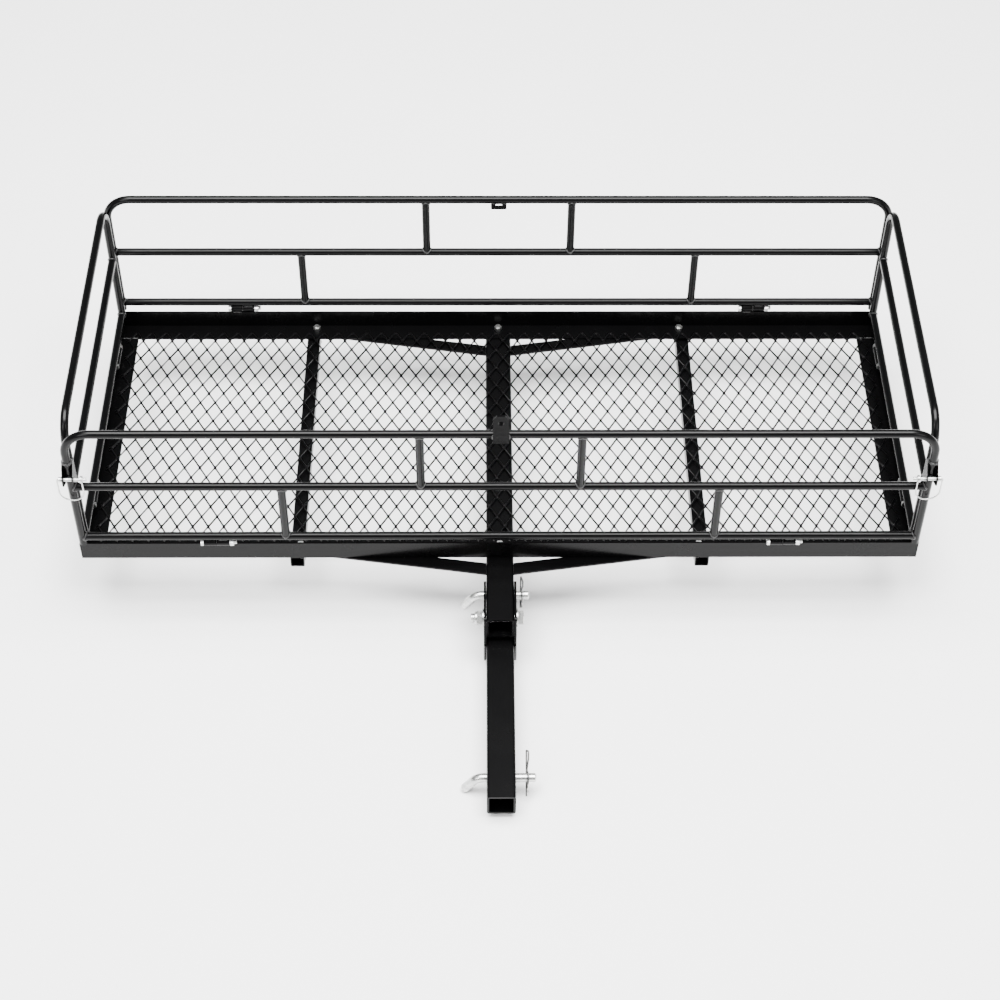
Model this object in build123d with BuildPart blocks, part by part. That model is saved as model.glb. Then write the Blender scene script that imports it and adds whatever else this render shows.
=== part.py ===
"""Hitch-mounted cargo carrier: a folding steel basket on a square receiver shank.

Millimetres, +Z up, +Y away from the tow vehicle, +X to the right when looking along +Y.
The origin is the centre of the hitch pin hole in the shank.
"""

from build123d import *
from math import cos, hypot, radians, sin
import os

os.makedirs("parts", exist_ok=True)

# ---------------------------------------------------------------- driving dimensions
# receiver shank and centre beam: 50 mm square tube
TUBE = 50.0
TUBE_WALL = 4.0
TUBE_CORNER = 5.0
TUBE_BORE_CORNER = 1.5
SHANK_FRONT = -56.5
SHANK_REAR = 367.0
BEAM_RISE = 62.0
BEAM_FRONT = 275.0
BEAM_REAR = 1027.0
BEAM_TOP = BEAM_RISE + TUBE / 2

# fold bracket
PIVOT_Y = 300.0
LOCK_Y = 352.0
PLATE = 4.0
PLATE_X = TUBE / 2 + 0.5
PLATE_FRONT = 270.0
WELD = 4.0
PIN_R = 7.94
PIN_HOLE_R = 8.0
PIVOT_R = 7.94
PIVOT_HOLE_R = 8.0
PIVOT_HEX = 23.8
PIVOT_HEAD = 10.0
PIVOT_NUT = 14.0
PIVOT_TAIL = 7.0
PIVOT_WASHER = 2.5
PIVOT_WASHER_R = 16.5
LOCK_SLOT_SWEEP = 52.0
LOCK_SLOT_PLAY = 0.7

# pins and spring clips
BEND_R = 20.0
BEND_TURN = 56.0
ARM = 27.0
LOCK_PIN_END = 52.5
LOCK_PIN_BEND = -34.0
HITCH_PIN_END = 60.3
HITCH_PIN_BEND = -31.0
SLIP = 0.08
CLIP_R = 1.5
CLIP_TURN = 15.0
LOCK_CLIP_X = 37.2
LOCK_CLIP_TILT = 84.0
HITCH_CLIP_X = 43.4
HITCH_CLIP_TILT = 43.0

# platform: 60 x 24 inch ring of angle iron resting on the beam
DECK_L = 1524.0
DECK_W = 610.0
DECK_Y = 725.0
DECK_Z = BEAM_TOP
ANGLE = 40.0
ANGLE_T = 3.0
DECK_FRONT = DECK_Y - DECK_W / 2
DECK_REAR = DECK_Y + DECK_W / 2
SHELF_Z = DECK_Z + ANGLE_T
CROSS_X = 371.0
CROSS = 25.4
CROSS_WALL = 2.0
CROSS_INSET = 4.0

# expanded metal
MESH_L = 1490.0
MESH_W = 542.0
MESH_T = 2.6
MESH_BORDER = 8.0
PITCH_X = 28.85
PITCH_Y = 49.0
STRAND = 2.8

# braces and their bolts
BRACE_W = 25.0
BRACE_T = 4.0
BRACE_PAST = 14.0
BOLT_X = 365.0
FRONT_BOLT_Y = DECK_FRONT + 25.0
REAR_BOLT_Y = DECK_REAR - 14.0
FRONT_BRACE_Y = 394.0
REAR_BRACE_Y = 959.0
BOLT_R = 4.0
BOLT_HOLE_R = 4.4
HEX = 13.0
HEX_HEAD = 5.3
NUT = 7.0
THREAD_GAP = 0.03

# rails: 15 mm round tube, long ones above the front and rear angle irons
RAIL_R = 7.5
RAIL_BORE_R = 6.2
FOOT_CAP = 1.5
RAIL_BEND = 47.0
RAIL_X = 752.5
RAIL_OUT = 307.0
AXIS_Z = DECK_Z + 48.1
TUBE_LIFT = 16.0
LOW_Z = AXIS_Z + TUBE_LIFT
MID_Z = DECK_Z + 198.0
TOP_Z = DECK_Z + 332.0
LEG_FOOT = AXIS_Z - 2.0
FRONT_Y = DECK_Y - RAIL_OUT
REAR_Y = DECK_Y + RAIL_OUT
UPPER_STRUT_X = 140.0
LOWER_STRUT_X = 386.0

# side rails, hinged lower so that they fold flat first
SIDE_Y = 289.0
SIDE_AXIS_X = 751.0
SIDE_AXIS_Z = DECK_Z + 33.5
SIDE_LOW_Z = SIDE_AXIS_Z + TUBE_LIFT
SIDE_MID_Z = DECK_Z + 196.0

# hinges: a fixed and a turning barrel on one M8 bolt
BARREL_R = 7.5
BARREL_BORE_R = 4.05
BARREL_L = 23.0
BARREL_GAP = 0.6
HINGE_X = 512.0
SIDE_HINGE_Y = 180.0
PAD_L = 17.0
PAD_SINK = 5.5

# tabs on the top tubes
TAB_T = 4.0
FRONT_TAB_W = 28.0
FRONT_TAB_HOLE_R = 5.0
REAR_TAB_W = 30.0

# corner latches on the front rail
LATCH_GAP = 2 * RAIL_R
LATCH_T = 2.2
LATCH_LOW = DECK_Z + 212.0
LATCH_HIGH = DECK_Z + 262.0
LATCH_PIN_Z = DECK_Z + 231.0
LATCH_PIN_Y = FRONT_Y - 13.0
LATCH_REACH = 21.0
LATCH_PIN_R = 3.25
BAIL_R = 1.3
BAIL_DROP = 54.0

LEFT, RIGHT = -1, 1
HANDS = ((LEFT, "left"), (RIGHT, "right"))


def save(part, name):
    """Label a finished piece and write it as its own STEP file."""
    part.label = name
    export_step(part, f"parts/{name}.step")


# ---------------------------------------------------------------- shank and fold bracket
with BuildPart() as shank:
    with BuildSketch(Plane.XZ.offset(-SHANK_FRONT)):
        RectangleRounded(TUBE, TUBE, TUBE_CORNER)
        RectangleRounded(TUBE - 2 * TUBE_WALL, TUBE - 2 * TUBE_WALL, TUBE_BORE_CORNER, mode=Mode.SUBTRACT)
    extrude(amount=-(SHANK_REAR - SHANK_FRONT))
    with BuildSketch(Plane.YZ):
        Circle(PIN_HOLE_R)
    extrude(amount=TUBE, both=True, mode=Mode.SUBTRACT)
save(shank.part, "shank")


def bracket_plate(side):
    """A fold bracket side plate, welded to the shank and carrying both cross pins."""
    with BuildPart() as plate:
        with BuildSketch(Plane.YZ.offset(side * PLATE_X)):
            with BuildLine():
                Polyline(
                    (PLATE_FRONT, -TUBE / 2),
                    (SHANK_REAR, -TUBE / 2),
                    (SHANK_REAR, BEAM_TOP),
                    (PLATE_FRONT + 5, BEAM_TOP),
                    (PLATE_FRONT, TUBE / 2 + 2),
                    close=True,
                )
            make_face()
            fillet(vertices().sort_by(Axis.Y)[-2:], 6)
            with Locations((PIVOT_Y, BEAM_RISE)):
                Circle(PIVOT_HOLE_R, mode=Mode.SUBTRACT)
            with Locations((LOCK_Y, BEAM_RISE)):
                Circle(PIN_HOLE_R, mode=Mode.SUBTRACT)
        extrude(amount=side * PLATE)
        # weld bead down the front edge, filling the gap to the shank
        with BuildSketch(Plane.YZ.offset(side * TUBE / 2)):
            with Locations((PLATE_FRONT - WELD / 2 + 0.5, 0)):
                Rectangle(WELD + 1, TUBE - 4 * TUBE_CORNER)
        extrude(amount=side * WELD)
    return plate.part


save(bracket_plate(LEFT), "bracket_plate_left")
save(bracket_plate(RIGHT), "bracket_plate_right")

WASHER_FACE = PLATE_X + PLATE
PIVOT_SEAT = WASHER_FACE + PIVOT_WASHER
NUT_HEX_PART = PIVOT_NUT * 0.7

with BuildPart() as pivot_bolt:
    with BuildSketch(Plane.YZ.offset(PIVOT_SEAT)):
        with Locations((PIVOT_Y, BEAM_RISE)):
            RegularPolygon(PIVOT_HEX / 2, 6, major_radius=False)
    extrude(amount=PIVOT_HEAD)
    chamfer(edges().group_by(Axis.X)[-1], 1.0)
    with BuildSketch(Plane.YZ.offset(PIVOT_SEAT)):
        with Locations((PIVOT_Y, BEAM_RISE)):
            Circle(PIVOT_R)
    extrude(amount=-(2 * PIVOT_SEAT + PIVOT_NUT + PIVOT_TAIL))
    chamfer(edges().group_by(Axis.X)[0], 1.0)
save(pivot_bolt.part, "pivot_bolt")

with BuildPart() as pivot_nut:
    with BuildSketch(Plane.YZ.offset(-PIVOT_SEAT)):
        with Locations((PIVOT_Y, BEAM_RISE)):
            RegularPolygon(PIVOT_HEX / 2, 6, major_radius=False)
    extrude(amount=-NUT_HEX_PART)
    with BuildSketch(Plane.YZ.offset(-PIVOT_SEAT - NUT_HEX_PART)):
        with Locations((PIVOT_Y, BEAM_RISE)):
            Circle(PIVOT_HEX * 0.47)
    extrude(amount=-(PIVOT_NUT - NUT_HEX_PART))
    fillet(edges().group_by(Axis.X)[0], 1.5)
    with BuildSketch(Plane.YZ):
        with Locations((PIVOT_Y, BEAM_RISE)):
            Circle(PIVOT_R + THREAD_GAP)
    extrude(amount=-TUBE * 2, mode=Mode.SUBTRACT)
save(pivot_nut.part, "pivot_nut")

with BuildPart() as pivot_washers:
    for side in (LEFT, RIGHT):
        with BuildSketch(Plane.YZ.offset(side * WASHER_FACE)):
            with Locations((PIVOT_Y, BEAM_RISE)):
                Circle(PIVOT_WASHER_R)
                Circle(PIVOT_R + 0.2, mode=Mode.SUBTRACT)
        extrude(amount=side * PIVOT_WASHER)
save(pivot_washers.part, "pivot_washers")


# ---------------------------------------------------------------- bent pins and spring clips
def bent_pin(y, z, end_x, clip_x, clip_tilt, bend_x):
    """A 5/8 inch bent hitch pin along X whose handle hangs down on the left."""
    turn = radians(BEND_TURN)
    mid = (bend_x - BEND_R * sin(turn / 2), z - BEND_R * (1 - cos(turn / 2)))
    arc = (bend_x - BEND_R * sin(turn), z - BEND_R * (1 - cos(turn)))
    tip = (arc[0] - ARM * cos(turn), arc[1] - ARM * sin(turn))
    with BuildPart() as pin:
        with BuildLine(Plane.XZ.offset(-y)) as path:
            Line((end_x, z), (bend_x, z))
            ThreePointArc((bend_x, z), mid, arc)
            Line(arc, tip)
        with BuildSketch(Plane.YZ.offset(end_x)):
            with Locations((y, z)):
                Circle(PIN_R)
        sweep(path=path.wires()[0])
        chamfer(edges().group_by(Axis.X)[-1], 2.0)
        tilt = radians(clip_tilt)
        across = Plane(origin=(clip_x, y, z), x_dir=(1, 0, 0), z_dir=(0, cos(tilt), sin(tilt)))
        with BuildSketch(across):
            Circle(CLIP_R + SLIP)
        extrude(amount=2 * PIN_R, both=True, mode=Mode.SUBTRACT)
    return pin.part


def spring_clip(x, y, z, tilt_deg):
    """An R-shaped spring clip: one straight leg through the pin, the other hugging it."""
    tilt = radians(tilt_deg)
    turn = radians(CLIP_TURN)
    leg = (0, cos(tilt), sin(tilt))
    normal = (cos(turn), sin(turn) * sin(tilt), -sin(turn) * cos(tilt))
    plane = Plane(origin=(x, y, z), x_dir=leg, z_dir=normal)
    with BuildPart() as clip:
        with BuildLine(plane) as path:
            FilletPolyline(
                (-32, 0),
                (47, 0),
                (47, 13),
                (34, 13),
                (17, 4.5),
                (12.5, 4.5),
                (7.5, 11),
                (-7.5, 11),
                (-12.5, 4.5),
                (-18, 4.5),
                (-24, 8),
                radius=2.2,
            )
        with BuildSketch(Plane(origin=path.wires()[0] @ 0, z_dir=path.wires()[0] % 0)):
            Circle(CLIP_R)
        sweep(path=path.wires()[0])
    return clip.part


lock_pin = bent_pin(LOCK_Y, BEAM_RISE, LOCK_PIN_END, LOCK_CLIP_X, LOCK_CLIP_TILT, LOCK_PIN_BEND)
hitch_pin = bent_pin(0, 0, HITCH_PIN_END, HITCH_CLIP_X, HITCH_CLIP_TILT, HITCH_PIN_BEND)
save(lock_pin, "lock_pin")
save(spring_clip(LOCK_CLIP_X, LOCK_Y, BEAM_RISE, LOCK_CLIP_TILT), "lock_pin_clip")
save(hitch_pin, "hitch_pin")
save(spring_clip(HITCH_CLIP_X, 0, 0, HITCH_CLIP_TILT), "hitch_pin_clip")

# ---------------------------------------------------------------- centre beam
with BuildLine() as lock_arc:
    CenterArc((PIVOT_Y, BEAM_RISE), LOCK_Y - PIVOT_Y, 0, -LOCK_SLOT_SWEEP)

with BuildPart() as centre_beam:
    with BuildSketch(Plane.XZ.offset(-BEAM_FRONT)):
        with Locations((0, BEAM_RISE)):
            RectangleRounded(TUBE, TUBE, TUBE_CORNER)
            RectangleRounded(TUBE - 2 * TUBE_WALL, TUBE - 2 * TUBE_WALL, TUBE_BORE_CORNER, mode=Mode.SUBTRACT)
    extrude(amount=-(BEAM_REAR - BEAM_FRONT))
    with BuildSketch(Plane.YZ):
        with Locations((PIVOT_Y, BEAM_RISE)):
            Circle(PIVOT_HOLE_R)
    extrude(amount=TUBE, both=True, mode=Mode.SUBTRACT)
    # the lock pin's seat opens downwards, so that the beam can lift off the pin
    with BuildSketch(Plane.YZ):
        SlotArc(arc=lock_arc.edges()[0], height=2 * PIN_R + LOCK_SLOT_PLAY)
    extrude(amount=TUBE, both=True, mode=Mode.SUBTRACT)
    with BuildSketch(Plane.XY.offset(BEAM_TOP)):
        with Locations((0, FRONT_BOLT_Y), (0, REAR_BOLT_Y)):
            Circle(BOLT_HOLE_R)
    extrude(amount=-TUBE, mode=Mode.SUBTRACT)
save(centre_beam.part, "centre_beam")


# ---------------------------------------------------------------- braces and cross members
def brace(side, root_y, bolt_y):
    """A flat bar from the beam's side out to a bolt under the angle iron."""
    run_x = BOLT_X - TUBE / 2
    run_y = bolt_y - root_y
    run = hypot(run_x, run_y)
    ux, uy = run_x / run, run_y / run
    cut = BRACE_W / 2 / ux
    end_x = BOLT_X + BRACE_PAST * ux
    end_y = bolt_y + BRACE_PAST * uy
    with BuildPart() as bar:
        with BuildSketch(Plane.XY.offset(DECK_Z)):
            with BuildLine():
                Polyline(
                    (side * TUBE / 2, root_y - cut),
                    (side * (end_x + BRACE_W / 2 * uy), end_y - BRACE_W / 2 * ux),
                    (side * (end_x - BRACE_W / 2 * uy), end_y + BRACE_W / 2 * ux),
                    (side * TUBE / 2, root_y + cut),
                    close=True,
                )
            make_face()
            with Locations((side * BOLT_X, bolt_y)):
                Circle(BOLT_HOLE_R, mode=Mode.SUBTRACT)
        extrude(amount=-BRACE_T)
    return bar.part


def cross_member(side):
    """A 1 inch square tube running fore and aft under the braces."""
    with BuildPart() as member:
        with BuildSketch(Plane.XZ.offset(-(DECK_FRONT + CROSS_INSET))):
            with Locations((side * CROSS_X, DECK_Z - BRACE_T - CROSS / 2)):
                RectangleRounded(CROSS, CROSS, 2.5)
                RectangleRounded(CROSS - 2 * CROSS_WALL, CROSS - 2 * CROSS_WALL, 0.8, mode=Mode.SUBTRACT)
        extrude(amount=-(DECK_W - 2 * CROSS_INSET))
        with BuildSketch(Plane.XY.offset(DECK_Z)):
            with Locations((side * BOLT_X, FRONT_BOLT_Y), (side * BOLT_X, REAR_BOLT_Y)):
                Circle(BOLT_HOLE_R)
        extrude(amount=-TUBE, mode=Mode.SUBTRACT)
    return member.part


for side, hand in HANDS:
    save(brace(side, FRONT_BRACE_Y, FRONT_BOLT_Y), f"brace_front_{hand}")
    save(brace(side, REAR_BRACE_Y, REAR_BOLT_Y), f"brace_rear_{hand}")
    save(cross_member(side), f"cross_member_{hand}")


# ---------------------------------------------------------------- angle iron ring
def angle_profile(edge, inward):
    """The angle's section: upright flange on the outside, shelf along the bottom."""
    with BuildSketch() as section:
        with BuildLine():
            Polyline(
                (edge, DECK_Z),
                (edge + inward * ANGLE, DECK_Z),
                (edge + inward * ANGLE, SHELF_Z),
                (edge + inward * ANGLE_T, SHELF_Z),
                (edge + inward * ANGLE_T, DECK_Z + ANGLE),
                (edge, DECK_Z + ANGLE),
                close=True,
            )
        make_face()
    return section.sketch


def long_angle(edge, inward, bolt_y):
    """The full-length front or rear angle iron."""
    with BuildPart() as bar:
        with BuildSketch(Plane.YZ.offset(-DECK_L / 2)):
            add(angle_profile(edge, inward))
        extrude(amount=DECK_L)
        with BuildSketch(Plane.XY.offset(SHELF_Z)):
            with Locations((-BOLT_X, bolt_y), (0, bolt_y), (BOLT_X, bolt_y)):
                Circle(BOLT_HOLE_R)
        extrude(amount=-ANGLE_T, mode=Mode.SUBTRACT)
    return bar.part


def side_angle(side):
    """A side angle iron, coped to sit between the long ones."""
    with BuildPart() as bar:
        with BuildSketch(Plane.XZ.offset(-(DECK_FRONT + ANGLE_T))):
            add(angle_profile(side * DECK_L / 2, -side))
        extrude(amount=-(DECK_W - 2 * ANGLE_T))
        with BuildSketch(Plane.XY.offset(SHELF_Z)):
            for end_y in (DECK_FRONT, DECK_REAR):
                with Locations((side * DECK_L / 2, end_y)):
                    Rectangle(2 * ANGLE, 2 * ANGLE)
        extrude(amount=-ANGLE_T, mode=Mode.SUBTRACT)
    return bar.part


save(long_angle(DECK_FRONT, 1, FRONT_BOLT_Y), "frame_angle_front")
save(long_angle(DECK_REAR, -1, REAR_BOLT_Y), "frame_angle_rear")
save(side_angle(LEFT), "frame_angle_left")
save(side_angle(RIGHT), "frame_angle_right")

# ---------------------------------------------------------------- expanded metal deck
HALF_X = PITCH_X / 2
HALF_Y = PITCH_Y / 2
SHRINK = 1 - STRAND / 2 * hypot(HALF_X, HALF_Y) / (HALF_X * HALF_Y)
COLUMNS = int((MESH_L - 2 * MESH_BORDER) / PITCH_X)
ROWS = int(MESH_W / PITCH_Y)
DIAMOND = (
    (HALF_X * SHRINK, 0),
    (0, HALF_Y * SHRINK),
    (-HALF_X * SHRINK, 0),
    (0, -HALF_Y * SHRINK),
)

with BuildPart() as deck_mesh:
    with BuildSketch(Plane.XY.offset(SHELF_Z)):
        with Locations((0, DECK_Y)):
            Rectangle(MESH_L, MESH_W)
            with GridLocations(PITCH_X, PITCH_Y, COLUMNS, ROWS):
                Polygon(*DIAMOND, mode=Mode.SUBTRACT)
            with GridLocations(PITCH_X, PITCH_Y, COLUMNS - 1, ROWS - 1):
                Polygon(*DIAMOND, mode=Mode.SUBTRACT)
    extrude(amount=MESH_T)
save(deck_mesh.part, "deck_mesh")

# ---------------------------------------------------------------- deck bolts and nuts
STACK_LOW = DECK_Z - BRACE_T - CROSS
CORNER_BOLTS = [(side * BOLT_X, y) for side in (LEFT, RIGHT) for y in (FRONT_BOLT_Y, REAR_BOLT_Y)]
CENTRE_BOLTS = [(0, FRONT_BOLT_Y), (0, REAR_BOLT_Y)]

with BuildPart() as deck_bolts:
    for low, spots in ((STACK_LOW, CORNER_BOLTS), (DECK_Z - TUBE, CENTRE_BOLTS)):
        with BuildSketch(Plane.XY.offset(low)):
            with Locations(*spots):
                RegularPolygon(HEX / 2, 6, major_radius=False)
        extrude(amount=-HEX_HEAD)
        with BuildSketch(Plane.XY.offset(low)):
            with Locations(*spots):
                Circle(BOLT_R)
        extrude(amount=SHELF_Z + NUT + 3 - low)
save(deck_bolts.part, "deck_bolts")

with BuildPart() as deck_nuts:
    with BuildSketch(Plane.XY.offset(SHELF_Z)):
        with Locations(*CORNER_BOLTS, *CENTRE_BOLTS):
            RegularPolygon(HEX / 2, 6, major_radius=False)
            Circle(BOLT_R + THREAD_GAP, mode=Mode.SUBTRACT)
    extrude(amount=NUT)
save(deck_nuts.part, "deck_nuts")


# ---------------------------------------------------------------- hinges
def hinge_plane(x, y, z, along_x):
    """A hinge's own plane: its normal is the hinge axis."""
    axis = (1, 0, 0) if along_x else (0, 1, 0)
    return Plane(origin=(x, y, z), x_dir=(0, 0, 1), z_dir=axis)


def barrel(plane, start):
    """One hinge barrel, bored for the bolt."""
    with BuildPart() as sleeve:
        with BuildSketch(plane.offset(start)):
            Circle(BARREL_R)
            Circle(BARREL_BORE_R, mode=Mode.SUBTRACT)
        extrude(amount=BARREL_L)
    return sleeve.part


def fixed_start():
    """Where the fixed barrel begins along the hinge axis."""
    return -BARREL_L - BARREL_GAP / 2


def hinge_bolt(plane):
    """The M8 bolt, head against the fixed barrel."""
    reach = 2 * BARREL_L + 2 * BARREL_GAP + NUT + 5
    with BuildPart() as bolt:
        with BuildSketch(plane.offset(fixed_start() - HEX_HEAD)):
            RegularPolygon(HEX / 2, 6, major_radius=False)
        extrude(amount=HEX_HEAD)
        with BuildSketch(plane.offset(fixed_start())):
            Circle(BOLT_R)
        extrude(amount=reach)
    return bolt.part


def hinge_nut(plane):
    """The M8 nut beyond the turning barrel."""
    with BuildPart() as nut:
        with BuildSketch(plane.offset(BARREL_L + 1.5 * BARREL_GAP)):
            RegularPolygon(HEX / 2, 6, major_radius=False)
            Circle(BOLT_R + THREAD_GAP, mode=Mode.SUBTRACT)
        extrude(amount=NUT)
    return nut.part


LONG_HINGES = {
    "front": [hinge_plane(x, FRONT_Y, AXIS_Z, True) for x in (-HINGE_X, HINGE_X)],
    "rear": [hinge_plane(x, REAR_Y, AXIS_Z, True) for x in (-HINGE_X, HINGE_X)],
}
SIDE_HINGES = {
    hand: [
        hinge_plane(side * SIDE_AXIS_X, DECK_Y + y, SIDE_AXIS_Z, False)
        for y in (-SIDE_HINGE_Y, SIDE_HINGE_Y)
    ]
    for side, hand in HANDS
}
ALL_HINGES = LONG_HINGES["front"] + LONG_HINGES["rear"] + SIDE_HINGES["left"] + SIDE_HINGES["right"]

with BuildPart() as hinge_bolts:
    for plane in ALL_HINGES:
        add(hinge_bolt(plane))
save(hinge_bolts.part, "hinge_bolts")

with BuildPart() as hinge_nuts:
    for plane in ALL_HINGES:
        add(hinge_nut(plane))
save(hinge_nuts.part, "hinge_nuts")


def fixed_barrels(planes, pad_x, pad_z):
    """The barrels welded to the frame; the pad spans (low, high) in X or Y and in Z."""
    with BuildPart() as group:
        for plane in planes:
            with BuildSketch(plane.offset(fixed_start() + (BARREL_L - PAD_L) / 2)):
                with Locations(((pad_z[0] + pad_z[1]) / 2, (pad_x[0] + pad_x[1]) / 2)):
                    Rectangle(pad_z[1] - pad_z[0], pad_x[1] - pad_x[0])
            extrude(amount=PAD_L)
            with BuildSketch(plane.offset(fixed_start())):
                Circle(BARREL_R)
            extrude(amount=BARREL_L)
            with BuildSketch(plane.offset(fixed_start())):
                Circle(BARREL_BORE_R)
            extrude(amount=BARREL_L, mode=Mode.SUBTRACT)
    return group.part


def turning_barrels(planes, tube_shift):
    """The barrels welded under a rail's bottom tube, which runs TUBE_LIFT above the axis."""
    with BuildPart() as group:
        for plane in planes:
            with BuildSketch(plane.offset(BARREL_GAP / 2 + (BARREL_L - PAD_L) / 2)):
                with Locations((BARREL_R + 1, tube_shift / 2)):
                    Rectangle(4, 5)
            extrude(amount=PAD_L)
            with BuildSketch(plane.offset(BARREL_GAP / 2)):
                Circle(BARREL_R)
            extrude(amount=BARREL_L)
            with BuildSketch(plane.offset(BARREL_GAP / 2)):
                Circle(BARREL_BORE_R)
                with Locations((TUBE_LIFT, tube_shift)):
                    Circle(RAIL_R)
            extrude(amount=BARREL_L, mode=Mode.SUBTRACT)
    return group.part


# local X of a hinge plane is up; local Y is -Y for hinges along X and +X for hinges along Y
FLANGE_DROP = AXIS_Z - DECK_Z - ANGLE
FLANGE_IN = RAIL_OUT - DECK_W / 2
SIDE_WALL = DECK_L / 2 - ANGLE_T - SIDE_AXIS_X
front_pad = (-FLANGE_IN - ANGLE_T, -FLANGE_IN)
rear_pad = (FLANGE_IN, FLANGE_IN + ANGLE_T)
side_pad = (-5, 1)
save(fixed_barrels(LONG_HINGES["front"], front_pad, (-FLANGE_DROP, -PAD_SINK)), "frame_barrels_front")
save(fixed_barrels(LONG_HINGES["rear"], rear_pad, (-FLANGE_DROP, -PAD_SINK)), "frame_barrels_rear")
save(fixed_barrels(SIDE_HINGES["left"], (-SIDE_WALL, -PAD_SINK), side_pad), "frame_barrels_left")
save(fixed_barrels(SIDE_HINGES["right"], (PAD_SINK, SIDE_WALL), side_pad), "frame_barrels_right")


# ---------------------------------------------------------------- rails
def hoop(plane, half_width, low, high):
    """A tube bent into a hoop: two legs and the top run, feet capped."""
    with BuildPart() as tube:
        with BuildLine(plane) as path:
            FilletPolyline(
                (-half_width, low),
                (-half_width, high),
                (half_width, high),
                (half_width, low),
                radius=RAIL_BEND,
            )
        with BuildSketch(Plane(origin=path.wires()[0] @ 0, z_dir=path.wires()[0] % 0)):
            Circle(RAIL_R)
            Circle(RAIL_BORE_R, mode=Mode.SUBTRACT)
        sweep(path=path.wires()[0])
        for end in (0, 1):
            with BuildSketch(Plane(origin=path.wires()[0] @ end, z_dir=(0, 0, 1))):
                Circle(RAIL_R)
            extrude(amount=FOOT_CAP)
    return tube.part


def cross_tube(plane, half_width, z):
    """A straight tube between the legs, its ends coped to them."""
    across = Plane(origin=plane.origin, x_dir=plane.z_dir, z_dir=plane.x_dir)
    with BuildPart() as tube:
        with BuildSketch(across.offset(-half_width)):
            with Locations((0, -z)):
                Circle(RAIL_R)
                Circle(RAIL_BORE_R, mode=Mode.SUBTRACT)
        extrude(amount=2 * half_width)
        with BuildSketch(Plane.XY.offset(z - 2 * RAIL_R)):
            for side in (LEFT, RIGHT):
                with Locations(plane.origin + plane.x_dir * side * half_width):
                    Circle(RAIL_R)
        extrude(amount=4 * RAIL_R, mode=Mode.SUBTRACT)
    return tube.part


def rail_struts(y):
    """Upright tubes between the long rail's runs, ends coped to them."""
    with BuildPart() as group:
        for strut_x, low, high in ((UPPER_STRUT_X, MID_Z, TOP_Z), (LOWER_STRUT_X, LOW_Z, MID_Z)):
            with BuildSketch(Plane.XY.offset(low)):
                with Locations((-strut_x, y), (strut_x, y)):
                    Circle(RAIL_R)
                    Circle(RAIL_BORE_R, mode=Mode.SUBTRACT)
            extrude(amount=high - low)
        with BuildSketch(Plane.YZ.offset(-RAIL_X)):
            with Locations((y, LOW_Z), (y, MID_Z), (y, TOP_Z)):
                Circle(RAIL_R)
        extrude(amount=2 * RAIL_X, mode=Mode.SUBTRACT)
    return group.part


for end, y in (("front", FRONT_Y), ("rear", REAR_Y)):
    upright = Plane(origin=(0, y, 0), x_dir=(1, 0, 0), z_dir=(0, -1, 0))
    save(hoop(upright, RAIL_X, LEG_FOOT, TOP_Z), f"{end}_rail_hoop")
    save(cross_tube(upright, RAIL_X, MID_Z), f"{end}_rail_mid_tube")
    save(cross_tube(upright, RAIL_X, LOW_Z), f"{end}_rail_bottom_tube")
    save(rail_struts(y), f"{end}_rail_struts")
    save(turning_barrels(LONG_HINGES[end], 0), f"{end}_rail_barrels")

for side, hand in HANDS:
    upright = Plane(origin=(side * RAIL_X, DECK_Y, 0), x_dir=(0, 1, 0), z_dir=(1, 0, 0))
    shift = side * (RAIL_X - SIDE_AXIS_X)
    save(hoop(upright, SIDE_Y, SIDE_LOW_Z - RAIL_R, TOP_Z), f"{hand}_rail_hoop")
    save(cross_tube(upright, SIDE_Y, SIDE_MID_Z), f"{hand}_rail_mid_tube")
    save(cross_tube(upright, SIDE_Y, SIDE_LOW_Z), f"{hand}_rail_bottom_tube")
    save(turning_barrels(SIDE_HINGES[hand], shift), f"{hand}_rail_barrels")

# ---------------------------------------------------------------- tabs on the top tubes
with BuildPart() as front_tab:
    with BuildSketch(Plane.XZ.offset(-(FRONT_Y - RAIL_R))):
        with BuildLine():
            Polyline(
                (-FRONT_TAB_W / 2, TOP_Z - 12),
                (FRONT_TAB_W / 2, TOP_Z - 12),
                (FRONT_TAB_W / 2, TOP_Z + 47),
                (FRONT_TAB_W / 2 - 7, TOP_Z + 55),
                (-FRONT_TAB_W / 2 + 7, TOP_Z + 55),
                (-FRONT_TAB_W / 2, TOP_Z + 47),
                close=True,
            )
        make_face()
        with Locations((0, TOP_Z + 38)):
            Circle(FRONT_TAB_HOLE_R, mode=Mode.SUBTRACT)
    extrude(amount=TAB_T)
save(front_tab.part, "front_tab")

with BuildPart() as rear_tab:
    with BuildSketch(Plane.XZ.offset(-(REAR_Y + TAB_T / 2))):
        with Locations((0, TOP_Z - 14)):
            Rectangle(REAR_TAB_W, 18)
            fillet(vertices().group_by(Axis.Y)[0], 3)
        with Locations((0, TOP_Z - 13)):
            SlotOverall(14, 7, mode=Mode.SUBTRACT)
    extrude(amount=TAB_T)
    with BuildSketch(Plane.YZ.offset(-REAR_TAB_W)):
        with Locations((REAR_Y, TOP_Z)):
            Circle(RAIL_R)
    extrude(amount=2 * REAR_TAB_W, mode=Mode.SUBTRACT)
save(rear_tab.part, "rear_tab")


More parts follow.
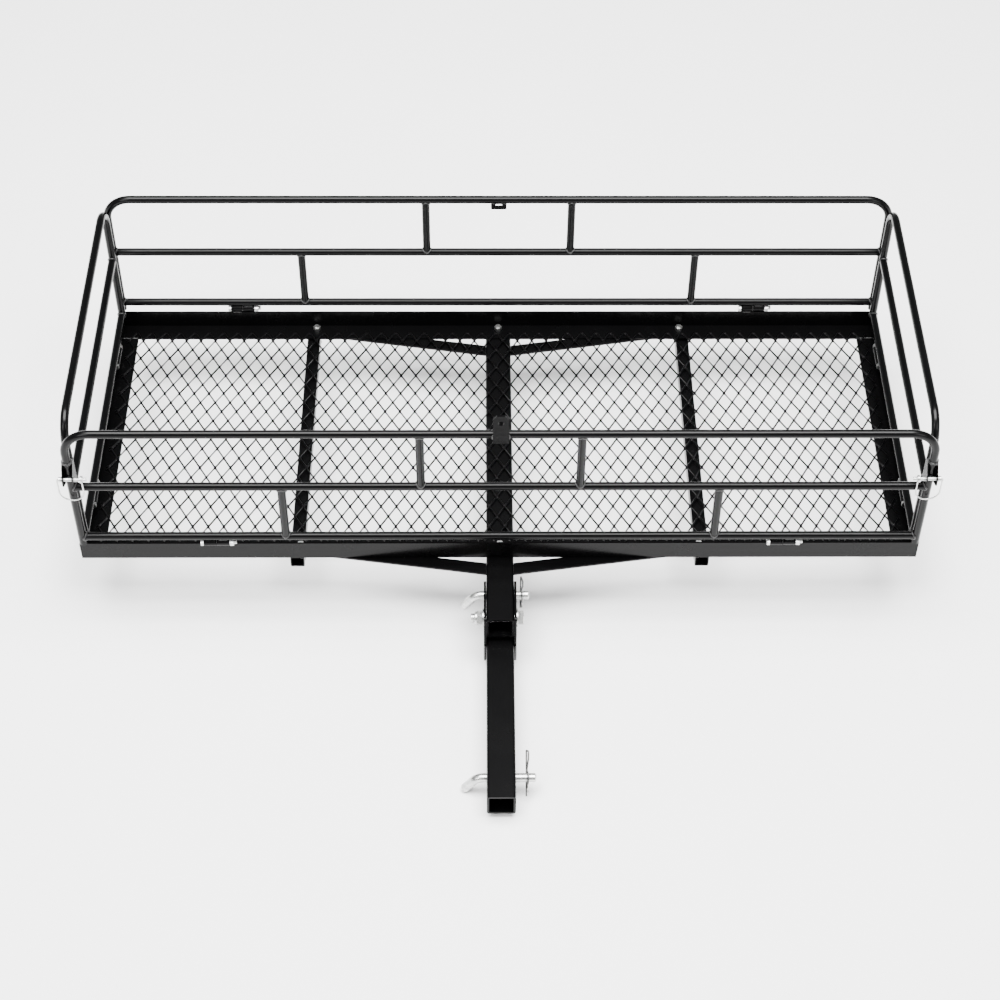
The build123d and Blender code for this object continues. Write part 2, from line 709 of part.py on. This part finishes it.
# ---------------------------------------------------------------- corner latches
def latch_bracket(side):
    """A U bracket round the front leg whose ears carry the corner pin."""
    back = FRONT_Y + RAIL_R + LATCH_T
    nose = FRONT_Y - LATCH_REACH
    with BuildPart() as bracket:
        with BuildSketch(Plane.YZ.offset(side * RAIL_X - LATCH_GAP / 2 - LATCH_T)):
            with BuildLine():
                Polyline(
                    (back, LATCH_LOW),
                    (FRONT_Y - 4, LATCH_LOW),
                    (nose, LATCH_LOW + 9),
                    (nose, LATCH_PIN_Z + 6),
                    (FRONT_Y, LATCH_HIGH),
                    (back, LATCH_HIGH),
                    close=True,
                )
            make_face()
            with Locations((LATCH_PIN_Y, LATCH_PIN_Z)):
                Circle(LATCH_PIN_R + SLIP, mode=Mode.SUBTRACT)
        extrude(amount=LATCH_GAP + 2 * LATCH_T)
        with BuildSketch(Plane.XY.offset(LATCH_LOW)):
            with Locations((side * RAIL_X, FRONT_Y + RAIL_R - TUBE / 2)):
                Rectangle(LATCH_GAP, TUBE)
        extrude(amount=TUBE, mode=Mode.SUBTRACT)
    return bracket.part


def corner_pin(side):
    """The headed pin across the bracket, head outside."""
    head = side * (RAIL_X + LATCH_GAP / 2 + LATCH_T + 2)
    tail = side * (RAIL_X - LATCH_GAP / 2 - LATCH_T - 22)
    with BuildPart() as pin:
        with BuildSketch(Plane.YZ.offset(head)):
            with Locations((LATCH_PIN_Y, LATCH_PIN_Z)):
                Circle(LATCH_PIN_R + 1.6)
        extrude(amount=side * 5)
        with BuildSketch(Plane.YZ.offset(tail)):
            with Locations((LATCH_PIN_Y, LATCH_PIN_Z)):
                Circle(LATCH_PIN_R)
        extrude(amount=head - tail, dir=(1, 0, 0))
    return pin.part


def corner_bail(side):
    """The spring wire hung from the pin's head, its eye snapped over the tail."""
    outer = side * (RAIL_X + LATCH_GAP / 2 + LATCH_T + 9 + BAIL_R)
    inner = side * (RAIL_X - LATCH_GAP / 2 - LATCH_T - 13)
    hook = BAIL_R + 2
    inset = hook * (1 - cos(radians(45)))
    hook_mid = (outer - side * inset, LATCH_PIN_Z - inset)
    loop_r = abs(outer - inner) / 2
    loop_z = LATCH_PIN_Z - BAIL_DROP + loop_r
    with BuildPart() as wire:
        with BuildLine(Plane.XZ.offset(-LATCH_PIN_Y)) as path:
            ThreePointArc((outer - side * hook, LATCH_PIN_Z), hook_mid, (outer, LATCH_PIN_Z - hook))
            Line((outer, LATCH_PIN_Z - hook), (outer, loop_z))
            ThreePointArc((outer, loop_z), ((outer + inner) / 2, loop_z - loop_r), (inner, loop_z))
            Line((inner, loop_z), (inner, LATCH_PIN_Z - LATCH_PIN_R - 1.4 * BAIL_R))
        with BuildSketch(Plane(origin=path.wires()[0] @ 0, z_dir=path.wires()[0] % 0)):
            Circle(BAIL_R)
        sweep(path=path.wires()[0])
        with BuildSketch(Plane.YZ.offset(inner - BAIL_R - 0.5)):
            with Locations((LATCH_PIN_Y, LATCH_PIN_Z)):
                Circle(LATCH_PIN_R + 2.5 * BAIL_R)
                Circle(LATCH_PIN_R, mode=Mode.SUBTRACT)
        extrude(amount=2 * BAIL_R + 1)
    return wire.part


for side, hand in HANDS:
    save(latch_bracket(side), f"latch_bracket_{hand}")
    save(corner_pin(side), f"corner_pin_{hand}")
    save(corner_bail(side), f"corner_bail_{hand}")
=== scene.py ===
"""Looks for the hitch cargo carrier: finishes, weld beads, expanded metal, threads, camera and light."""
import math

import bpy
from mathutils import Matrix, Vector


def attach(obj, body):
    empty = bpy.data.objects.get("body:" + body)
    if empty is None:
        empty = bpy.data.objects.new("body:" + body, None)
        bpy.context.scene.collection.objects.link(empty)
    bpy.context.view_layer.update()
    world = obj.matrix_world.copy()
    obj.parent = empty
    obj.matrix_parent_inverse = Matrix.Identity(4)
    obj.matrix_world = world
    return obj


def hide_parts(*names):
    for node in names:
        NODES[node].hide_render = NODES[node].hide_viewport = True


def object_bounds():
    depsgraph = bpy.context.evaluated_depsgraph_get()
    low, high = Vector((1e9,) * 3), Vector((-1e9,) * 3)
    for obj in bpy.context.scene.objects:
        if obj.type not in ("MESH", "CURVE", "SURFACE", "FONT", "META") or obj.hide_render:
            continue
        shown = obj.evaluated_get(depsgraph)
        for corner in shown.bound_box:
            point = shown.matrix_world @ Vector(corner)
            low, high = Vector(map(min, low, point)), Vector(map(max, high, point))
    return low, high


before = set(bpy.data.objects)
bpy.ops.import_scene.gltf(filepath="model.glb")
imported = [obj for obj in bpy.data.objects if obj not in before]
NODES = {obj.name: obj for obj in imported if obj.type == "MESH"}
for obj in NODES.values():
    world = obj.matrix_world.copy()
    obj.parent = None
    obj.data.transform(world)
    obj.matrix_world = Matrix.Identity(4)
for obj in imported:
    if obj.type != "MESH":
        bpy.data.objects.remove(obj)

CAD_LOW, CAD_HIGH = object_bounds()

# ------------------------------------------------------------ key sizes, in metres
TUBE_R = 0.0075
DECK_Z = 0.087
DECK_Y = 0.725
FRONT_Y = 0.418
REAR_Y = 1.032
RAIL_X = 0.7525
PIVOT_Y = 0.300
BEAM_Z = 0.062
SHELF_TOP = DECK_Z + 0.003
AXIS_Z = DECK_Z + 0.0481
LOW_Z = AXIS_Z + 0.016
MID_Z = DECK_Z + 0.198
TOP_Z = DECK_Z + 0.332
SIDE_Y = 0.289
SIDE_LOW_Z = DECK_Z + 0.0495
SIDE_MID_Z = DECK_Z + 0.196
HINGE_X = 0.512
UPPER_STRUT_X = 0.140
LOWER_STRUT_X = 0.386
FLOOR_DROP = 0.002
FLOOR_HALF = 9


# ------------------------------------------------------------ materials
def new_material(name):
    """A new node material with its tree and its Principled shader."""
    mat = bpy.data.materials.new(name)
    mat.use_nodes = True
    tree = mat.node_tree
    bsdf = tree.nodes["Principled BSDF"]
    return mat, tree, bsdf


def noise(tree, scale, detail=4.0, rough=0.5):
    """Noise in the object's own coordinates, scale in cycles per metre."""
    coord = tree.nodes.new("ShaderNodeTexCoord")
    tex = tree.nodes.new("ShaderNodeTexNoise")
    tex.inputs["Scale"].default_value = scale
    tex.inputs["Detail"].default_value = detail
    tex.inputs["Roughness"].default_value = rough
    tree.links.new(coord.outputs["Object"], tex.inputs["Vector"])
    return tex.outputs["Fac"]


def remap(tree, value, low, high, a=0.3, b=0.7):
    """Stretch a value's range a to b onto low to high."""
    node = tree.nodes.new("ShaderNodeMapRange")
    node.inputs["From Min"].default_value = a
    node.inputs["From Max"].default_value = b
    node.inputs["To Min"].default_value = low
    node.inputs["To Max"].default_value = high
    tree.links.new(value, node.inputs["Value"])
    return node.outputs["Result"]


def mix_colour(tree, fac, dark, light):
    """A colour between two others."""
    node = tree.nodes.new("ShaderNodeMix")
    node.data_type = "RGBA"
    node.inputs[6].default_value = dark
    node.inputs[7].default_value = light
    tree.links.new(fac, node.inputs[0])
    return node.outputs[2]


def add_bump(tree, bsdf, heights):
    """Chain bumps given as (height, strength, distance) into the shader's normal."""
    last = None
    for height, strength, distance in heights:
        node = tree.nodes.new("ShaderNodeBump")
        node.inputs["Strength"].default_value = strength
        node.inputs["Distance"].default_value = distance
        tree.links.new(height, node.inputs["Height"])
        if last:
            tree.links.new(last, node.inputs["Normal"])
        last = node.outputs["Normal"]
    tree.links.new(last, bsdf.inputs["Normal"])


def powder_coat(name, rough=0.26, peel=0.08, dust=0.5, gloss=0.085):
    """Semi-gloss black powder coat: orange peel and faint dust."""
    mat, tree, bsdf = new_material(name)
    dusty = remap(tree, noise(tree, 9.0, 5.0, 0.5), 0.0, dust, 0.42, 0.75)
    base = mix_colour(tree, dusty, (0.0012, 0.0012, 0.0013, 1), (0.0018, 0.0018, 0.0019, 1))
    tree.links.new(base, bsdf.inputs["Base Color"])
    sheen = remap(tree, noise(tree, 18.0, 4.0), rough - 0.01, rough + 0.02)
    tree.links.new(sheen, bsdf.inputs["Roughness"])
    bsdf.inputs["Specular IOR Level"].default_value = gloss
    bsdf.inputs["Coat Weight"].default_value = 0.03
    bsdf.inputs["Coat Roughness"].default_value = 0.14
    orange_peel = noise(tree, 900.0, 2.0)
    waviness = noise(tree, 12.0, 1.0)
    add_bump(tree, bsdf, ((orange_peel, peel, 0.00002), (waviness, 0.03, 0.0001)))
    return mat


def zinc_plate(name, dark=(0.40, 0.41, 0.41, 1), light=(0.66, 0.66, 0.64, 1)):
    """Bright zinc: cool metal with cloudy passivation and fine grain."""
    mat, tree, bsdf = new_material(name)
    cloud = remap(tree, noise(tree, 120.0, 6.0, 0.6), 0.0, 1.0, 0.35, 0.65)
    tint = mix_colour(tree, cloud, dark, light)
    tree.links.new(tint, bsdf.inputs["Base Color"])
    bsdf.inputs["Metallic"].default_value = 1.0
    tree.links.new(remap(tree, noise(tree, 320.0, 4.0), 0.22, 0.42), bsdf.inputs["Roughness"])
    add_bump(tree, bsdf, ((noise(tree, 1600.0, 2.0), 0.25, 0.00008),))
    return mat


def weld_coat(name):
    """Powder coat over weld beads: rougher, with spatter."""
    mat, tree, bsdf = new_material(name)
    patches = remap(tree, noise(tree, 60.0), 0.0, 1.0)
    tint = mix_colour(tree, patches, (0.003, 0.003, 0.003, 1), (0.008, 0.008, 0.008, 1))
    tree.links.new(tint, bsdf.inputs["Base Color"])
    tree.links.new(remap(tree, noise(tree, 200.0, 4.0), 0.25, 0.45), bsdf.inputs["Roughness"])
    add_bump(tree, bsdf, ((noise(tree, 700.0, 4.0), 0.5, 0.0003),))
    return mat


COAT = powder_coat("black_powder_coat")
TUBE_COAT = powder_coat("black_powder_coat_tube", rough=0.22, gloss=0.115)
MESH_COAT = powder_coat("black_powder_coat_mesh", rough=0.30, peel=0.12, dust=0.8)
ZINC = zinc_plate("bright_zinc")
SPRING = zinc_plate("spring_wire", (0.10, 0.10, 0.10, 1), (0.24, 0.24, 0.23, 1))
WELD = weld_coat("coated_weld")

SPRING_NODES = ("lock_pin_clip", "hitch_pin_clip")
ZINC_NODES = (
    "lock_pin", "hitch_pin", "pivot_bolt", "pivot_nut", "pivot_washers",
    "deck_bolts", "deck_nuts", "hinge_bolts", "hinge_nuts",
    "corner_pin_left", "corner_pin_right", "corner_bail_left", "corner_bail_right",
)
for name, obj in NODES.items():
    if name in SPRING_NODES:
        mat = SPRING
    elif name in ZINC_NODES:
        mat = ZINC
    elif name == "deck_mesh":
        mat = MESH_COAT
    elif "_rail_" in name:
        mat = TUBE_COAT
    else:
        mat = COAT
    obj.data.materials.clear()
    obj.data.materials.append(mat)


# ------------------------------------------------------------ mesh helpers
def make_piece(name, verts, faces, mat, body, smooth=True):
    """A mesh object that rides on a body."""
    mesh = bpy.data.meshes.new(name)
    mesh.from_pydata([tuple(v) for v in verts], [], faces)
    mesh.update()
    if smooth:
        mesh.polygons.foreach_set("use_smooth", [True] * len(mesh.polygons))
    obj = bpy.data.objects.new(name, mesh)
    bpy.context.scene.collection.objects.link(obj)
    mesh.materials.append(mat)
    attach(obj, body)
    return obj


class Beads:
    """Weld beads gathered into one mesh."""

    def __init__(self):
        self.verts = []
        self.faces = []

    def sweep(self, points, radii, closed, sides=8):
        """A round bead along points, its radius given at each."""
        base = len(self.verts)
        count = len(points)
        for i, point in enumerate(points):
            ahead = points[(i + 1) % count] if closed or i < count - 1 else point
            behind = points[i - 1] if closed or i > 0 else point
            along = (ahead - behind).normalized()
            side = along.orthogonal() if i == 0 else side - along * side.dot(along)
            side.normalize()
            other = along.cross(side)
            for k in range(sides):
                turn = 2 * math.pi * k / sides
                self.verts.append(point + (side * math.cos(turn) + other * math.sin(turn)) * radii[i])
        rings = count if closed else count - 1
        for i in range(rings):
            a = base + i * sides
            b = base + ((i + 1) % count) * sides
            for k in range(sides):
                n = (k + 1) % sides
                self.faces.append((a + k, a + n, b + n, b + k))
        if not closed:
            self.faces.append(tuple(base + k for k in range(sides))[::-1])
            self.faces.append(tuple(base + (count - 1) * sides + k for k in range(sides)))

    def saddle(self, centre, away, across, radius=0.0017, tube_r=TUBE_R):
        """A bead where a tube leaving along `away` meets an equal tube along `across`."""
        centre, away, across = Vector(centre), Vector(away), Vector(across)
        third = away.cross(across)
        points = []
        radii = []
        steps = 84
        gap = 0.0006
        for i in range(steps):
            t = 2 * math.pi * i / steps
            sideways = tube_r * math.cos(t)
            lift = tube_r * math.sin(t)
            out = math.sqrt((tube_r + gap) ** 2 - lift * lift)
            points.append(centre + away * out + across * sideways + third * lift)
            ripple = 0.16 * abs(math.sin(t * 13))
            sag = 0.06 * math.sin(t * 3 + centre.x * 40)
            radii.append(radius * (0.86 + ripple + sag))
        self.sweep(points, radii, True)

    def collar(self, centre, ring=0.0079, radius=0.0022):
        """A lumpy bead round an upright tube."""
        points = []
        radii = []
        steps = 60
        for i in range(steps):
            t = 2 * math.pi * i / steps
            lift = 0.0008 * math.sin(3 * t + 1) + 0.0005 * math.sin(7 * t)
            points.append(Vector(centre) + Vector((ring * math.cos(t), ring * math.sin(t), lift)))
            radii.append(radius * (0.8 + 0.25 * abs(math.sin(t * 9)) + 0.12 * math.sin(5 * t)))
        self.sweep(points, radii, True)

    def line(self, start, end, radius=0.0018):
        """A straight bead with tapered ends and a ripple every 2.2 mm."""
        ripple = 0.0022
        start, end = Vector(start), Vector(end)
        length = (end - start).length
        steps = max(6, int(length / 0.0006))
        points = []
        radii = []
        for i in range(steps + 1):
            f = i / steps
            taper = min(1.0, 0.35 + 6 * min(f, 1 - f))
            wander = 0.0002 * math.sin(f * length * 900)
            points.append(start.lerp(end, f) + Vector((0, 0, wander)))
            radii.append(radius * taper * (0.86 + 0.2 * abs(math.sin(f * length * math.pi / ripple))))
        self.sweep(points, radii, False)

    def build(self, name, body):
        """Turn the gathered beads into a piece on a body."""
        return make_piece(name, self.verts, self.faces, WELD, body)


# ------------------------------------------------------------ welds on the rails
X = Vector((1, 0, 0))
Y = Vector((0, 1, 0))
Z = Vector((0, 0, 1))
STRUT_ENDS = (
    (UPPER_STRUT_X, TOP_Z, -1),
    (UPPER_STRUT_X, MID_Z, 1),
    (LOWER_STRUT_X, MID_Z, -1),
    (LOWER_STRUT_X, LOW_Z, 1),
)


def long_rail_welds(beads, y):
    """Saddles at a long rail's tube joints, and beads either side of its hinge pads."""
    pad_start, pad_length, pad_half = 0.0035, 0.0165, 0.0028
    pad_z = AXIS_Z + 0.0080
    for side in (-1, 1):
        for z in (MID_Z, LOW_Z):
            beads.saddle((side * RAIL_X, y, z), -side * X, Z)
        for x, z, up in STRUT_ENDS:
            beads.saddle((side * x, y, z), up * Z, X)
        start = side * HINGE_X + pad_start
        for shift in (-pad_half, pad_half):
            beads.line((start, y + shift, pad_z), (start + pad_length, y + shift, pad_z), 0.0014)


def front_fitting_welds(beads, y):
    """Beads round the front tab and the two corner latch brackets."""
    face = y - TUBE_R
    for x in (-0.0142, 0.0142):
        beads.line((x, face, TOP_Z - 0.005), (x, face, TOP_Z + 0.005), 0.0019)
    above = TOP_Z + 0.0032
    beads.line((-0.012, face + 0.0003, above), (0.012, face + 0.0003, above), 0.0014)
    ear_y = y - 0.002
    ear_low, ear_high, bracket_top = DECK_Z + 0.2265, DECK_Z + 0.257, DECK_Z + 0.2632
    for side in (-1, 1):
        beads.collar((side * RAIL_X, y, bracket_top))
        for dx in (-0.0085, 0.0085):
            x = side * RAIL_X + dx
            beads.line((x, ear_y, ear_low), (x, ear_y, ear_high), 0.0013)


def rear_tab_welds(beads, y):
    """Beads along both sides of the rear tab, under the top tube."""
    under = TOP_Z - 0.0077
    for dy in (-0.0026, 0.0026):
        beads.line((-0.014, y + dy, under), (0.014, y + dy, under), 0.0013)


for end, y, fittings in (("front", FRONT_Y, front_fitting_welds), ("rear", REAR_Y, rear_tab_welds)):
    beads = Beads()
    long_rail_welds(beads, y)
    fittings(beads, y)
    beads.build(f"{end}_rail_welds", f"{end}_rail")

for side, hand in ((-1, "left"), (1, "right")):
    beads = Beads()
    for end in (-1, 1):
        for z in (SIDE_LOW_Z, SIDE_MID_Z):
            beads.saddle((side * RAIL_X, DECK_Y + end * SIDE_Y, z), -end * Y, Z)
    beads.build(f"{hand}_rail_welds", f"{hand}_rail")


# ------------------------------------------------------------ welds on the frame and the shank
def ring_corner_welds(beads, side, y, inward):
    """Beads up the inside of a ring corner and along its coped shelf."""
    corner_x = side * 0.759
    flange_y = y + inward * 0.0032
    beads.line((corner_x, flange_y, DECK_Z + 0.0045), (corner_x, flange_y, DECK_Z + 0.0385), 0.0019)
    cope_y = y + inward * 0.0400
    cope_z = DECK_Z + 0.0028
    beads.line((side * 0.7225, cope_y, cope_z), (side * 0.7575, cope_y, cope_z), 0.0015)


def hinge_pad_welds(beads, side, y, inward):
    """Two beads where a fixed hinge's pad stands on the flange."""
    start = side * HINGE_X - 0.0203
    stop = start + 0.0170
    flange_top = DECK_Z + 0.0403
    rail_y = y - inward * 0.002
    for edge in (rail_y + inward * 0.002, rail_y + inward * 0.005):
        beads.line((start, edge, flange_top), (stop, edge, flange_top), 0.0012)


def brace_welds(beads, side):
    """Beads where the braces meet the beam."""
    x = side * 0.0254
    z = DECK_Z - 0.0045
    half = 0.011
    for root in (0.394, 0.959):
        beads.line((x, root - half, z), (x, root + half, z), 0.0017)


beads = Beads()
for side in (-1, 1):
    for y, inward in ((0.420, 1), (1.030, -1)):
        ring_corner_welds(beads, side, y, inward)
        hinge_pad_welds(beads, side, y, inward)
    brace_welds(beads, side)
beads.build("frame_welds", "basket")

beads = Beads()
for side in (-1, 1):
    front_x, front_y, front_half = side * 0.0272, 0.2675, 0.0195
    beads.line((front_x, front_y, -front_half), (front_x, front_y, front_half), 0.0026)
    low_x, low_z = side * 0.0262, -0.0248
    beads.line((low_x, 0.276, low_z), (low_x, 0.362, low_z), 0.0016)
beads.build("bracket_welds", "shank")


# ------------------------------------------------------------ expanded metal deck
def expanded_metal():
    """Slit and stretched sheet: tilted strands meeting at flat knuckles."""
    # pitch, the place of one knuckle, the sheet's edges, its mid height and a strand's half sizes
    px, py = 0.02885, 0.049
    ox, oy = 0.0098, DECK_Y + 0.011
    lx, hx = -0.743, 0.743
    ly, hy = DECK_Y - 0.2695, DECK_Y + 0.279
    mid = SHELF_TOP + 0.00135
    half_w, half_t = 0.00155, 0.00062
    lean_deg = 32
    knuckle_x, knuckle_y, knuckle_t = 0.0022, 0.0042, half_t * 1.1
    knuckle = ((-1, 0), (-0.5, -1), (0.5, -1), (1, 0), (0.5, 1), (-0.5, 1))
    columns, rows = 28, 7
    verts = []
    faces = []

    def strand(a, b, tilt):
        """One strand between two knuckles, its wide faces leaning by `tilt`."""
        run = Vector((b[0] - a[0], b[1] - a[1], 0))
        length = run.length
        ahead = run / length
        flat = Vector((-ahead.y, ahead.x, 0))
        sections = ((0.0, 0.25), (0.12, 0.75), (0.30, 1.0), (0.70, 1.0), (0.88, 0.75), (1.0, 0.25))
        base = len(verts)
        for f, lean in sections:
            turn = math.radians(tilt) * lean
            wide = flat * math.cos(turn) + Vector((0, 0, math.sin(turn)))
            thick = wide.cross(ahead)
            w = half_w * (1.0 + 0.25 * (1 - lean))
            here = Vector((a[0], a[1], mid)) + run * f
            for cw, ct in ((-1, -1), (1, -1), (1, 1), (-1, 1)):
                verts.append(here + wide * w * cw + thick * half_t * ct)
        for i in range(len(sections) - 1):
            p = base + 4 * i
            for k in range(4):
                n = (k + 1) % 4
                faces.append((p + k, p + n, p + 4 + n, p + 4 + k))
        faces.append((base, base + 1, base + 2, base + 3))
        last = base + 4 * (len(sections) - 1)
        faces.append((last + 3, last + 2, last + 1, last))

    def clip(a, b):
        """The part of a strand that lies on the sheet, or None."""
        shortest = 0.06
        t0, t1 = 0.0, 1.0
        for c, low, high in ((0, lx, hx), (1, ly, hy)):
            d = b[c] - a[c]
            for bound, sign in ((low, 1), (high, -1)):
                p, q = -sign * d, sign * (a[c] - bound)
                if p < 0:
                    t0 = max(t0, q / p)
                elif p > 0:
                    t1 = min(t1, q / p)
                elif q < 0:
                    return None
        if t1 - t0 < shortest:
            return None
        return (
            (a[0] + (b[0] - a[0]) * t0, a[1] + (b[1] - a[1]) * t0),
            (a[0] + (b[0] - a[0]) * t1, a[1] + (b[1] - a[1]) * t1),
        )

    for n in range(-rows, rows + 1):
        for m in range(-columns, columns + 1):
            x, y = ox + m * px, oy + n * py
            for dx, dy in ((1, 1), (-1, 1), (1, -1), (-1, -1)):
                ends = clip((x, y), (x + dx * px / 2, y + dy * py / 2))
                if ends:
                    strand(ends[0], ends[1], lean_deg if dx * dy > 0 else -lean_deg)
            if lx < x < hx and ly + 0.004 < y < hy - 0.004:
                base = len(verts)
                for cx, cy in knuckle:
                    for cz in (-1, 1):
                        verts.append(Vector((x + cx * knuckle_x, y + cy * knuckle_y, mid + cz * knuckle_t)))
                for k in range(6):
                    a, b = base + 2 * k, base + 2 * ((k + 1) % 6)
                    faces.append((a, b, b + 1, a + 1))
                faces.append(tuple(base + 2 * k for k in range(6))[::-1])
                faces.append(tuple(base + 2 * k + 1 for k in range(6)))
    return verts, faces


verts, faces = expanded_metal()
deck = make_piece("deck_expanded_metal", verts, faces, MESH_COAT, "basket", smooth=False)
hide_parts("deck_mesh")


# ------------------------------------------------------------ threads
def thread(name, start, axis, length, core, pitch, body):
    """A helical V ridge round a bolt's end."""
    start, axis = Vector(start), Vector(axis)
    u = axis.orthogonal().normalized()
    v = axis.cross(u)
    sunk, crest, half_width = 0.0002, pitch * 0.28, pitch * 0.42
    turns = length / pitch
    steps = int(turns * 28)
    verts = []
    faces = []
    for i in range(steps + 1):
        f = i / steps
        turn = 2 * math.pi * turns * f
        out = u * math.cos(turn) + v * math.sin(turn)
        here = start + axis * (length * f)
        fade = min(1.0, 12 * min(f, 1 - f) + 0.1)
        verts.append(here + out * (core - sunk) - axis * half_width)
        verts.append(here + out * (core + crest * fade))
        verts.append(here + out * (core - sunk) + axis * half_width)
        if i:
            p = 3 * i
            faces.append((p - 3, p - 2, p + 1, p))
            faces.append((p - 2, p - 1, p + 2, p + 1))
            faces.append((p - 1, p - 3, p, p + 2))
    return make_piece(name, verts, faces, ZINC, body)


thread("pivot_bolt_thread", (-0.0464, PIVOT_Y, BEAM_Z), -X, 0.0050, 0.0079, 0.0023, "shank")
for side, hand in ((-1, "left"), (1, "right")):
    for y, end in ((FRONT_Y, "front"), (REAR_Y, "rear")):
        x = side * HINGE_X + 0.0315
        thread(f"hinge_thread_{end}_{hand}", (x, y, AXIS_Z), X, 0.0036, 0.00398, 0.00125, "basket")

# ------------------------------------------------------------ floor, light and camera
floor_z = CAD_LOW[2] - FLOOR_DROP
corners = [(x * FLOOR_HALF, y * FLOOR_HALF, floor_z) for x, y in ((-1, -1), (1, -1), (1, 1), (-1, 1))]
mesh = bpy.data.meshes.new("floor")
mesh.from_pydata(corners, [], [(0, 1, 2, 3)])
floor = bpy.data.objects.new("floor", mesh)
bpy.context.scene.collection.objects.link(floor)
mat, tree, bsdf = new_material("pale_floor")
clouds = remap(tree, noise(tree, 2.0), 0.0, 1.0)
paint = mix_colour(tree, clouds, (0.94, 0.94, 0.94, 1), (0.96, 0.96, 0.96, 1))
tree.links.new(paint, bsdf.inputs["Base Color"])
bsdf.inputs["Roughness"].default_value = 0.9
bsdf.inputs["Specular IOR Level"].default_value = 0.1
mesh.materials.append(mat)

# a light tent: bright overhead and at the horizon, darker between; each stop is (place, level)
TENT_LOW, TENT_HIGH = 1.2, 2.2
TENT_STOPS = ((0.12, 0.9), (0.35, 0.25), (0.80, 0.25), (0.93, 1.8))
TENT_STRENGTH = 1.12

world = bpy.data.worlds.new("studio")
bpy.context.scene.world = world
world.use_nodes = True
nodes = world.node_tree.nodes
links = world.node_tree.links
coord = nodes.new("ShaderNodeTexCoord")
parts = nodes.new("ShaderNodeSeparateXYZ")
ramp = nodes.new("ShaderNodeValToRGB")
stops = ramp.color_ramp.elements
stops[0].position = 0.0
stops[0].color = (TENT_LOW, TENT_LOW, TENT_LOW, 1)
stops[1].position = 1.0
stops[1].color = (TENT_HIGH, TENT_HIGH, TENT_HIGH, 1)
for place, level in TENT_STOPS:
    stop = stops.new(place)
    stop.color = (level, level, level, 1)
nodes["Background"].inputs["Strength"].default_value = TENT_STRENGTH
links.new(coord.outputs["Generated"], parts.inputs["Vector"])
links.new(parts.outputs["Z"], ramp.inputs["Fac"])
links.new(ramp.outputs["Color"], nodes["Background"].inputs["Color"])


def area_light(name, position, target, size, power):
    """A soft light aimed at a point, power in watts."""
    data = bpy.data.lights.new(name, "AREA")
    data.shape = "RECTANGLE"
    data.size, data.size_y = size
    data.energy = power
    obj = bpy.data.objects.new(name, data)
    obj.location = position
    aim = Vector(target) - Vector(position)
    obj.rotation_euler = aim.to_track_quat("-Z", "Y").to_euler()
    bpy.context.scene.collection.objects.link(obj)


area_light("overhead", (0.0, 0.2, 5.0), (0, 0.5, 0), (5.0, 3.0), 1320)
area_light("key", (-2.6, -2.4, 3.2), (0, 0.7, 0.1), (1.6, 1.6), 120)
area_light("fill", (2.8, -2.0, 2.4), (0, 0.7, 0.1), (1.6, 1.6), 60)

# the photograph's viewpoint, angles in radians
CAMERA_AT = (-0.0322, -2.0395, 3.0461)
PITCH, YAW, ROLL = 0.819, 0.015, 0.010
forward = Vector((math.sin(YAW) * math.cos(PITCH), math.cos(YAW) * math.cos(PITCH), -math.sin(PITCH)))
right = forward.cross(Vector((0, 0, 1))).normalized()
up = right.cross(forward)
rolled_right = right * math.cos(ROLL) + up * math.sin(ROLL)
rolled_up = up * math.cos(ROLL) - right * math.sin(ROLL)
camera_data = bpy.data.cameras.new("camera")
camera_data.sensor_width = 36.0
camera_data.lens = 75.64
camera_data.shift_x = -0.0037
camera_data.shift_y = -0.0652
camera_data.clip_end = 50.0
camera = bpy.data.objects.new("camera", camera_data)
rows = [[rolled_right[i], rolled_up[i], -forward[i]] for i in range(3)]
camera.matrix_world = Matrix.Translation(CAMERA_AT) @ Matrix(rows).to_4x4()
bpy.context.scene.collection.objects.link(camera)
bpy.context.scene.camera = camera
